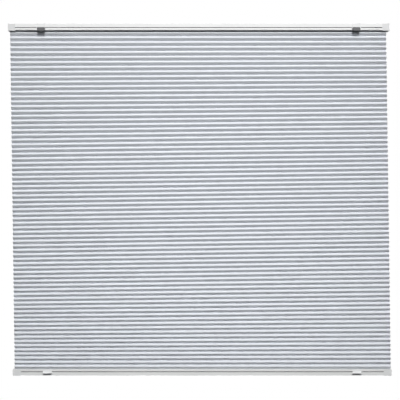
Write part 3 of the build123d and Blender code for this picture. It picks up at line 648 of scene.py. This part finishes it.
def weave_group():
    """Crossed threads: the larger of two rows of rounded ridges, one along each cloth coordinate.

    A ridge's height is |sin(pi n u)|, with n threads a metre. The second output is high between the threads;
    it is used to paint shade into the colour there.
    """
    group, entry, leave = new_group(
        "Crossed threads",
        [("Vector", "NodeSocketVector", None), ("Threads", "NodeSocketFloat", 2200.0)],
        ["Height", "Gap shade"],
    )
    split = group.nodes.new("ShaderNodeSeparateXYZ")
    group.links.new(entry.outputs["Vector"], split.inputs[0])
    turn = maths(group, "MULTIPLY", entry.outputs["Threads"], float(np.pi))
    ridges = []
    for axis in (0, 1):
        place = maths(group, "MULTIPLY", split.outputs[axis], turn)
        ridges.append(maths(group, "ABSOLUTE", maths(group, "SINE", place)))
    height = maths(group, "MAXIMUM", ridges[0], ridges[1])
    group.links.new(height, leave.inputs["Height"])
    gap_shade = maths(group, "SUBTRACT", 1.0, maths(group, "MULTIPLY", ridges[0], ridges[1]))
    group.links.new(gap_shade, leave.inputs["Gap shade"])
    return group


def handling_group():
    """Light marks of use: patches of a broad noise, broken up by a finer one."""
    group, entry, leave = new_group(
        "Handling marks",
        [("Vector", "NodeSocketVector", None), ("Amount", "NodeSocketFloat", 0.3)],
        ["Mask"],
    )
    vector = entry.outputs["Vector"]
    broad = spread(group, noise(group, vector, 14.0, 3.0), 0.48, 0.75)
    fine = spread(group, noise(group, vector, 260.0, 5.0, 0.7), 0.35, 0.8)
    mask = maths(group, "MULTIPLY", maths(group, "MULTIPLY", broad, fine), entry.outputs["Amount"])
    group.links.new(mask, leave.inputs["Mask"])
    return group


SHADER_GROUPS = {
    "Fine grain": grain_group,
    "Crossed threads": weave_group,
    "Handling marks": handling_group,
}


def place_group(tree, label, vector, **values):
    """Place a shared group in a material, making it the first time, with this material's values."""
    shared = bpy.data.node_groups.get(label) or SHADER_GROUPS[label]()
    node = tree.nodes.new("ShaderNodeGroup")
    node.node_tree = shared
    tree.links.new(vector, node.inputs["Vector"])
    for key, value in values.items():
        node.inputs[key].default_value = value
    return node


# ---------------------------------------------------------------------------------------------
# Materials
# ---------------------------------------------------------------------------------------------


def mixed_colour(tree, factor, first, second):
    """A colour mix between two colours, or between a colour socket and a colour."""
    node = tree.nodes.new("ShaderNodeMix")
    node.data_type = "RGBA"
    tree.links.new(factor, node.inputs["Factor"])
    for socket, value in ((node.inputs[6], first), (node.inputs[7], second)):
        if isinstance(value, bpy.types.NodeSocket):
            tree.links.new(value, socket)
        else:
            socket.default_value = (*value, 1.0)
    return node.outputs[2]


def shaded(colour, factor):
    """The same colour, lighter or darker."""
    return tuple(min(1.0, channel * factor) for channel in colour)


def bumped(tree, shader, height, strength, distance):
    """Feed a height into the shader's normal through a Bump node."""
    node = tree.nodes.new("ShaderNodeBump")
    node.inputs["Strength"].default_value = strength
    node.inputs["Distance"].default_value = distance
    tree.links.new(height, node.inputs["Height"])
    tree.links.new(node.outputs["Normal"], shader.inputs["Normal"])


def new_material(name):
    """A material with a Principled shader, its node tree and a vector of object coordinates."""
    material = bpy.data.materials.new(name)
    material.use_nodes = True
    tree = material.node_tree
    shader = tree.nodes["Principled BSDF"]
    place = tree.nodes.new("ShaderNodeTexCoord")
    return material, tree, shader, place


def hard_finish(
    name, colour, rough, metal=0.0, grain=900.0, bump=0.08, depth=0.00004, drawn=None, marks=0.25
):
    """A paint, plastic or metal: slow tone changes, fine grain, and light marks of use.

    drawn stretches the grain, as extrusion and rolling do, by a scale along each axis.
    """
    material, tree, shader, place = new_material(name)
    mapping = tree.nodes.new("ShaderNodeMapping")
    mapping.inputs["Scale"].default_value = drawn or (1.0, 1.0, 1.0)
    tree.links.new(place.outputs["Object"], mapping.inputs["Vector"])
    grains = place_group(tree, "Fine grain", mapping.outputs["Vector"], Scale=grain)
    handled = place_group(tree, "Handling marks", place.outputs["Object"], Amount=marks)
    tone = mixed_colour(tree, grains.outputs["Tone"], shaded(colour, 0.965), shaded(colour, 1.02))
    full = mixed_colour(tree, handled.outputs["Mask"], tone, shaded(colour, 0.72))
    tree.links.new(full, shader.inputs["Base Color"])
    gloss = maths(tree, "MULTIPLY", grains.outputs["Tone"], 0.08)
    gloss = maths(tree, "ADD", gloss, rough - 0.04)
    gloss = maths(tree, "ADD", gloss, maths(tree, "MULTIPLY", handled.outputs["Mask"], 0.25))
    tree.links.new(gloss, shader.inputs["Roughness"])
    shader.inputs["Metallic"].default_value = metal
    bumped(tree, shader, grains.outputs["Height"], bump, depth)
    return material


def groove_painted_shade(material, colour, level, face):
    """Paint shade into a rail's two grooves: a near-black colour within their height and behind the rail's
    face stands in for the shade inside them.

    The mask is (|z - level| < groove half) times (|y| < face - painted shade's start) times
    (|y| > face - painted shade's end).
    """
    tree = material.node_tree
    shader = tree.nodes["Principled BSDF"]
    place = tree.nodes.new("ShaderNodeTexCoord")
    split = tree.nodes.new("ShaderNodeSeparateXYZ")
    tree.links.new(place.outputs["Object"], split.inputs[0])
    height = maths(tree, "ABSOLUTE", maths(tree, "SUBTRACT", split.outputs["Z"], level))
    depth = maths(tree, "ABSOLUTE", split.outputs["Y"])
    mask = maths(tree, "LESS_THAN", height, GROOVE_HALF)
    mask = maths(tree, "MULTIPLY", mask, maths(tree, "LESS_THAN", depth, face - GROOVE_SHADE_STARTS))
    mask = maths(tree, "MULTIPLY", mask, maths(tree, "GREATER_THAN", depth, face - GROOVE_SHADE_ENDS))
    paint = shader.inputs["Base Color"].links[0].from_socket
    tree.links.new(mixed_colour(tree, mask, paint, colour), shader.inputs["Base Color"])


def cloth_finish(name, colour):
    """Spun polyester cloth: crossed fine threads on the cloth's own coordinates, loose fibres, soft sheen."""
    material, tree, shader, place = new_material(name)
    weave = place_group(tree, "Crossed threads", place.outputs["UV"], Threads=2400.0)
    grains = place_group(tree, "Fine grain", place.outputs["Object"], Scale=1400.0)
    fibres = tree.nodes.new("ShaderNodeMapping")
    fibres.inputs["Scale"].default_value = (0.25, 1.0, 1.0)
    tree.links.new(place.outputs["Object"], fibres.inputs["Vector"])
    streak = place_group(tree, "Fine grain", fibres.outputs["Vector"], Scale=520.0)
    tone = mixed_colour(tree, grains.outputs["Tone"], shaded(colour, 0.975), shaded(colour, 1.015))
    # Painted shade: the colour is darkened a little between the threads
    gap_shade = maths(tree, "MULTIPLY", weave.outputs["Gap shade"], 0.10)
    full = mixed_colour(tree, gap_shade, tone, shaded(colour, 0.80))
    tree.links.new(full, shader.inputs["Base Color"])
    height = maths(tree, "MULTIPLY", weave.outputs["Height"], 0.5)
    height = maths(tree, "ADD", height, maths(tree, "MULTIPLY", grains.outputs["Height"], 0.35))
    height = maths(tree, "ADD", height, maths(tree, "MULTIPLY", streak.outputs["Height"], 0.2))
    bumped(tree, shader, height, 0.15, 0.0001)
    shader.inputs["Roughness"].default_value = 0.82
    shader.inputs["Specular IOR Level"].default_value = 0.3
    shader.inputs["Sheen Weight"].default_value = 0.12
    shader.inputs["Sheen Roughness"].default_value = 0.5
    return material


def cord_finish(name, colour):
    """Braided polyester cord: two crossing rows of strands, slanted round the cord."""
    material, tree, shader, place = new_material(name)
    slant = tree.nodes.new("ShaderNodeMapping")
    slant.inputs["Rotation"].default_value = (0.0, 0.0, radians(40))
    tree.links.new(place.outputs["UV"], slant.inputs["Vector"])
    braid = place_group(tree, "Crossed threads", slant.outputs["Vector"], Threads=2600.0)
    grains = place_group(tree, "Fine grain", place.outputs["Object"], Scale=3000.0)
    # Painted shade: the colour is darkened between the strands
    gap_shade = maths(tree, "MULTIPLY", braid.outputs["Gap shade"], 0.5)
    tone = mixed_colour(tree, grains.outputs["Tone"], shaded(colour, 0.95), shaded(colour, 1.03))
    tree.links.new(mixed_colour(tree, gap_shade, tone, shaded(colour, 0.6)), shader.inputs["Base Color"])
    bumped(tree, shader, braid.outputs["Height"], 0.6, 0.00012)
    shader.inputs["Roughness"].default_value = 0.7
    return material


def give(material, *nodes):
    """Put a material on CAD nodes, in place of what they came with."""
    for name in nodes:
        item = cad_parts[name]
        if not item.material_slots:
            item.data.materials.append(material)
        for holder in item.material_slots:
            holder.material = material


def both(name):
    """The left and the right node of a pair."""
    return [f"{name}_{side}" for side in SIDES]


# ---------------------------------------------------------------------------------------------
# Operators
# ---------------------------------------------------------------------------------------------


class BLIND_OT_cloth(bpy.types.Operator):
    """Fold the cloth into its column of cells and hang it between the rails"""

    bl_idname = "blind.cloth"
    bl_label = "Folded cloth"

    def execute(self, context):
        sizes = context.scene.blind_cloth
        points, quads, uv = cloth_surface(sizes)
        cloth = surface_object("folded_cloth", points, quads, uv)
        cloth.data.materials.append(cloth_finish("Spun polyester", context.scene.blind_colours.cloth[:]))
        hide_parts("pleated_fabric")
        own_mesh(cloth)
        return {"FINISHED"}


class BLIND_OT_cords(bpy.types.Operator):
    """Run both lift cords from their spools over the pulleys and down through the cells"""

    bl_idname = "blind.cords"
    bl_label = "Lift cords"

    def execute(self, context):
        sizes = context.scene.blind_cords
        braid = cord_finish("Braided cord", context.scene.blind_colours.cord[:])
        for side, sign in SIDES.items():
            start_x = sign * (sizes.spool_x - sizes.spool_radius)
            drop_x = sign * sizes.inset
            corners = [
                (start_x, -0.2 * sizes.spool_radius, sizes.level),
                (start_x, sizes.spool_radius, sizes.level),
                (drop_x, 0, sizes.level),
                (drop_x, 0, CLOTH_HIGH.z - 0.0003),
            ]
            path = rounded_path(corners, (sizes.spool_radius, sizes.pulley_radius - 0.0001))
            run = tube(
                f"cord_run_{side}",
                spread_path(path, 0.02),
                sizes.radius,
                CORD_SIDES,
                "head",
                (0.0, 0.6, 0.8),
            )
            low_x = drop_x + HANG_SHIFT
            low_end = (low_x, 0, sizes.knot_level)
            fall = np.array([(drop_x, 0, CLOTH_HIGH.z), (low_x, 0, CLOTH_LOW.z)])
            drop = tube(
                f"cord_drop_{side}",
                spread_path(fall, 0.03),
                sizes.radius,
                CORD_SIDES,
                "head",
                (0.0, 1.0, 0.0),
            )
            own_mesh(drop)
            last = np.array([(low_x, 0, CLOTH_LOW.z - 0.0003), low_end])
            tail = tube(
                f"cord_tail_{side}",
                spread_path(last, 0.003),
                sizes.radius,
                CORD_SIDES,
                "bottom",
                (0.0, 1.0, 0.0),
            )
            knot = self.end_knot(f"cord_knot_{side}", low_end, sizes)
            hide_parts(f"lift_cord_{side}")
            for item in (run, drop, tail, knot):
                item.data.materials.append(braid)
        return {"FINISHED"}

    def end_knot(self, name, middle, sizes):
        """A pulled-tight overhand knot: a trefoil, (sin t + 2 sin 2t, cos t - 2 cos 2t, -1.5 sin 3t),
        scaled so that with the cord's thickness it fits the knot's radius."""
        t = np.linspace(0, 2 * np.pi, KNOT_STEPS, endpoint=False)
        trefoil = np.stack(
            [np.sin(t) + 2 * np.sin(2 * t), np.cos(t) - 2 * np.cos(2 * t), -1.5 * np.sin(3 * t)], axis=-1
        )
        trefoil *= (sizes.knot_radius - sizes.radius) / 3.0
        return tube(
            name, trefoil + np.array(middle), sizes.radius * 0.9, 8, "bottom", (0.05, 0.1, 1.0), closed=True
        )


class BLIND_OT_rails(bpy.types.Operator):
    """Finish both rails, their end caps, the strips that carry the cloth and the ballast"""

    bl_idname = "blind.rails"
    bl_label = "Rails and caps"

    def execute(self, context):
        colours = context.scene.blind_colours
        rails = (
            ("head_rail", "Head rail paint", colours.rail[:], HEAD_GROOVE),
            # Bottom rail: the same paint, darkened as painted shade
            ("bottom_rail", "Bottom rail paint with painted shade", shaded(colours.rail[:], BOTTOM_RAIL_PAINTED_SHADE), BOTTOM_GROOVE),
        )
        for rail, label, colour, groove in rails:
            paint = hard_finish(label, colour, 0.42, drawn=(0.12, 1.0, 1.0), grain=1500.0)
            # Paint shade into the rail's grooves
            groove_painted_shade(paint, colours.groove[:], *groove)
            give(paint, rail)
        caps = hard_finish("Cap plastic", colours.cap[:], 0.5, grain=2200.0, bump=0.15)
        give(caps, *both("head_cap"), *both("bottom_cap"))
        strips = hard_finish("Strip plastic", colours.strip[:], 0.45, drawn=(0.1, 1.0, 1.0), grain=1200.0)
        give(strips, "carrier_top", "carrier_bottom")
        ballast = hard_finish(
            "Zinc-plated bar", colours.steel[:], 0.4, metal=1.0, drawn=(0.2, 1.0, 1.0), grain=700.0, marks=0.6
        )
        give(ballast, "weight_bar")
        anchors = hard_finish("Anchor plastic", colours.strip[:], 0.5, grain=2400.0)
        give(anchors, *both("cord_anchor"))
        return {"FINISHED"}


class BLIND_OT_brackets(bpy.types.Operator):
    """Finish the brackets, their release levers, pins and springs"""

    bl_idname = "blind.brackets"
    bl_label = "Brackets and levers"

    def execute(self, context):
        colours = context.scene.blind_colours
        paint = hard_finish("Bracket paint", colours.bracket[:], 0.45, grain=1700.0, bump=0.12, marks=0.45)
        give(paint, *both("bracket"))
        lever = hard_finish("Lever plastic", colours.lever[:], 0.48, grain=2600.0, bump=0.2, marks=0.5)
        give(lever, *both("bracket_lever"))
        steel = hard_finish("Bright steel", colours.steel[:], 0.28, metal=1.0, grain=1900.0, marks=0.3)
        give(steel, *both("lever_pin"), *both("lever_spring"), *both("pulley_axle"), "motor_screws")
        return {"FINISHED"}


class BLIND_OT_motor(bpy.types.Operator):
    """Finish the spring motor inside the head rail, with its gears, spools and pulleys"""

    bl_idname = "blind.motor"
    bl_label = "Spring motor"

    def execute(self, context):
        colours = context.scene.blind_colours
        housing = hard_finish("Motor plastic", colours.motor[:], 0.5, grain=2000.0, bump=0.18)
        give(housing, "motor_base", "motor_cover", *both("cord_cradle"))
        gears = hard_finish("Gear plastic", colours.gear[:], 0.38, grain=2600.0, bump=0.05)
        give(gears, *both("cord_spool"), "idler_gear", "storage_drum", "output_drum", *both("pulley"))
        ribbon = hard_finish(
            "Spring ribbon", colours.steel[:], 0.3, metal=1.0, drawn=(1.0, 1.0, 0.1), grain=1200.0
        )
        give(ribbon, "spring_ribbon")
        return {"FINISHED"}


class BLIND_OT_tabs(bpy.types.Operator):
    """Finish the finger tabs on the bottom rail"""

    bl_idname = "blind.tabs"
    bl_label = "Finger tabs"

    def execute(self, context):
        tab = hard_finish("Tab plastic", context.scene.blind_colours.tab[:], 0.35, grain=1800.0, marks=0.4)
        give(tab, *both("pull_tab"))
        return {"FINISHED"}


class BLIND_OT_stage(bpy.types.Operator):
    """Set up the pale floor, the soft studio light and the camera"""

    bl_idname = "blind.stage"
    bl_label = "Floor, light and camera"

    def execute(self, context):
        settings = context.scene.blind_stage
        scene = context.scene
        scene.view_settings.view_transform = "Standard"
        self.pale_floor(settings)
        self.surroundings(scene, settings)
        middle = Vector((0.0, 0.0, (CAD_BOX[0].z + CAD_BOX[1].z) / 2))
        below = Vector((0.0, -1.0, settings.floor_level))
        aim = Vector((0.08, 0.0, -0.24))
        self.soft_light("Key light", (2.6, -26.0, 20.4), aim, (3.2, 2.6), settings.key_power, radians(9))
        fill = settings.fill_power
        self.soft_light("Left back fill", (-4.2, 2.6, 0.5), middle, (2.4, 2.4), fill)
        self.soft_light("Right back fill", (4.2, 2.6, 0.5), middle, (2.4, 2.4), fill)
        self.soft_light("Floor wash", (0.0, -1.0, -1.42), below, (12.0, 12.0), settings.floor_power)
        lens = bpy.data.cameras.new("Camera")
        lens.sensor_width = 36.0
        lens.lens = settings.lens
        lens.clip_end = 60.0
        camera = bpy.data.objects.new("Camera", lens)
        camera.location = (settings.camera_x, CLOTH_LOW.y - settings.distance, settings.camera_level)
        camera.rotation_euler = (radians(90), 0.0, 0.0)
        scene.collection.objects.link(camera)
        scene.camera = camera
        return {"FINISHED"}

    def pale_floor(self, settings):
        """A flat grid of points at the floor's level, from in front of the blind to behind it."""
        x, y = np.meshgrid(
            np.linspace(-5, 5, FLOOR_STEPS), np.linspace(-6, 4, FLOOR_STEPS), indexing="ij"
        )
        points = np.stack([x, y, np.full_like(x, settings.floor_level)], axis=-1).reshape(-1, 3)
        mesh = bpy.data.meshes.new("floor")
        quads = grid_quads(np.arange(FLOOR_STEPS**2).reshape(FLOOR_STEPS, FLOOR_STEPS))
        mesh.from_pydata(points.tolist(), [], quads[:, ::-1].tolist())
        floor = bpy.data.objects.new("floor", mesh)
        bpy.context.scene.collection.objects.link(floor)
        mesh.materials.append(hard_finish("Pale floor", (0.78, 0.78, 0.77), 0.8, grain=60.0, marks=0.0))
        floor.visible_diffuse = False

    def surroundings(self, scene, settings):
        """White to the camera, and a dimmer light from all round to everything else."""
        world = bpy.data.worlds.new("Studio")
        world.use_nodes = True
        scene.world = world
        tree = world.node_tree
        tree.nodes.clear()
        path = tree.nodes.new("ShaderNodeLightPath")
        seen = tree.nodes.new("ShaderNodeBackground")
        seen.inputs["Strength"].default_value = 1.0
        seen.inputs["Color"].default_value = (1.0, 1.0, 1.0, 1.0)
        light = tree.nodes.new("ShaderNodeBackground")
        light.inputs["Strength"].default_value = settings.ambient
        light.inputs["Color"].default_value = (0.95, 0.97, 1.0, 1.0)
        mix = tree.nodes.new("ShaderNodeMixShader")
        out = tree.nodes.new("ShaderNodeOutputWorld")
        tree.links.new(path.outputs["Is Camera Ray"], mix.inputs["Fac"])
        tree.links.new(light.outputs[0], mix.inputs[1])
        tree.links.new(seen.outputs[0], mix.inputs[2])
        tree.links.new(mix.outputs[0], out.inputs["Surface"])

    def soft_light(self, name, place, target, size, power, beam=radians(180)):
        """A rectangular light that points at a target and that the camera doesn't see."""
        data = bpy.data.lights.new(name, "AREA")
        data.shape = "RECTANGLE"
        data.size, data.size_y = size
        data.energy = power
        data.spread = beam
        light = bpy.data.objects.new(name, data)
        light.location = place
        light.rotation_euler = (target - Vector(place)).to_track_quat("-Z", "Y").to_euler()
        light.visible_camera = False
        bpy.context.scene.collection.objects.link(light)


# ---------------------------------------------------------------------------------------------
# Sidebar
# ---------------------------------------------------------------------------------------------


OPERATORS = (
    BLIND_OT_cloth,
    BLIND_OT_cords,
    BLIND_OT_rails,
    BLIND_OT_brackets,
    BLIND_OT_motor,
    BLIND_OT_tabs,
    BLIND_OT_stage,
)
SETTINGS = {
    "blind_cloth": ClothSizes,
    "blind_cords": CordSizes,
    "blind_colours": BlindColours,
    "blind_stage": StageSettings,
}


class VIEW3D_PT_blind(bpy.types.Panel):
    """Lists the blind's pieces and their sizes"""

    bl_idname = "VIEW3D_PT_blind"
    bl_label = "Pleated blind"
    bl_space_type = "VIEW_3D"
    bl_region_type = "UI"
    bl_category = "Blind"

    def draw(self, context):
        for operator in OPERATORS:
            self.layout.operator(operator.bl_idname)
        for holder, kind in SETTINGS.items():
            group = getattr(context.scene, holder)
            box = self.layout.box()
            for name in kind.__annotations__:
                box.prop(group, name)


def register():
    """Register the settings, the operators and the panel."""
    for holder, kind in SETTINGS.items():
        bpy.utils.register_class(kind)
        setattr(bpy.types.Scene, holder, bpy.props.PointerProperty(type=kind))
    for operator in OPERATORS:
        bpy.utils.register_class(operator)
    bpy.utils.register_class(VIEW3D_PT_blind)


def unregister():
    """Take them away again."""
    bpy.utils.unregister_class(VIEW3D_PT_blind)
    for operator in reversed(OPERATORS):
        bpy.utils.unregister_class(operator)
    for holder, kind in reversed(SETTINGS.items()):
        delattr(bpy.types.Scene, holder)
        bpy.utils.unregister_class(kind)


def main():
    """Build every piece in order."""
    register()
    bpy.ops.blind.cloth()
    bpy.ops.blind.cords()
    bpy.ops.blind.rails()
    bpy.ops.blind.brackets()
    bpy.ops.blind.motor()
    bpy.ops.blind.tabs()
    bpy.ops.blind.stage()


if __name__ == "__main__":
    main()
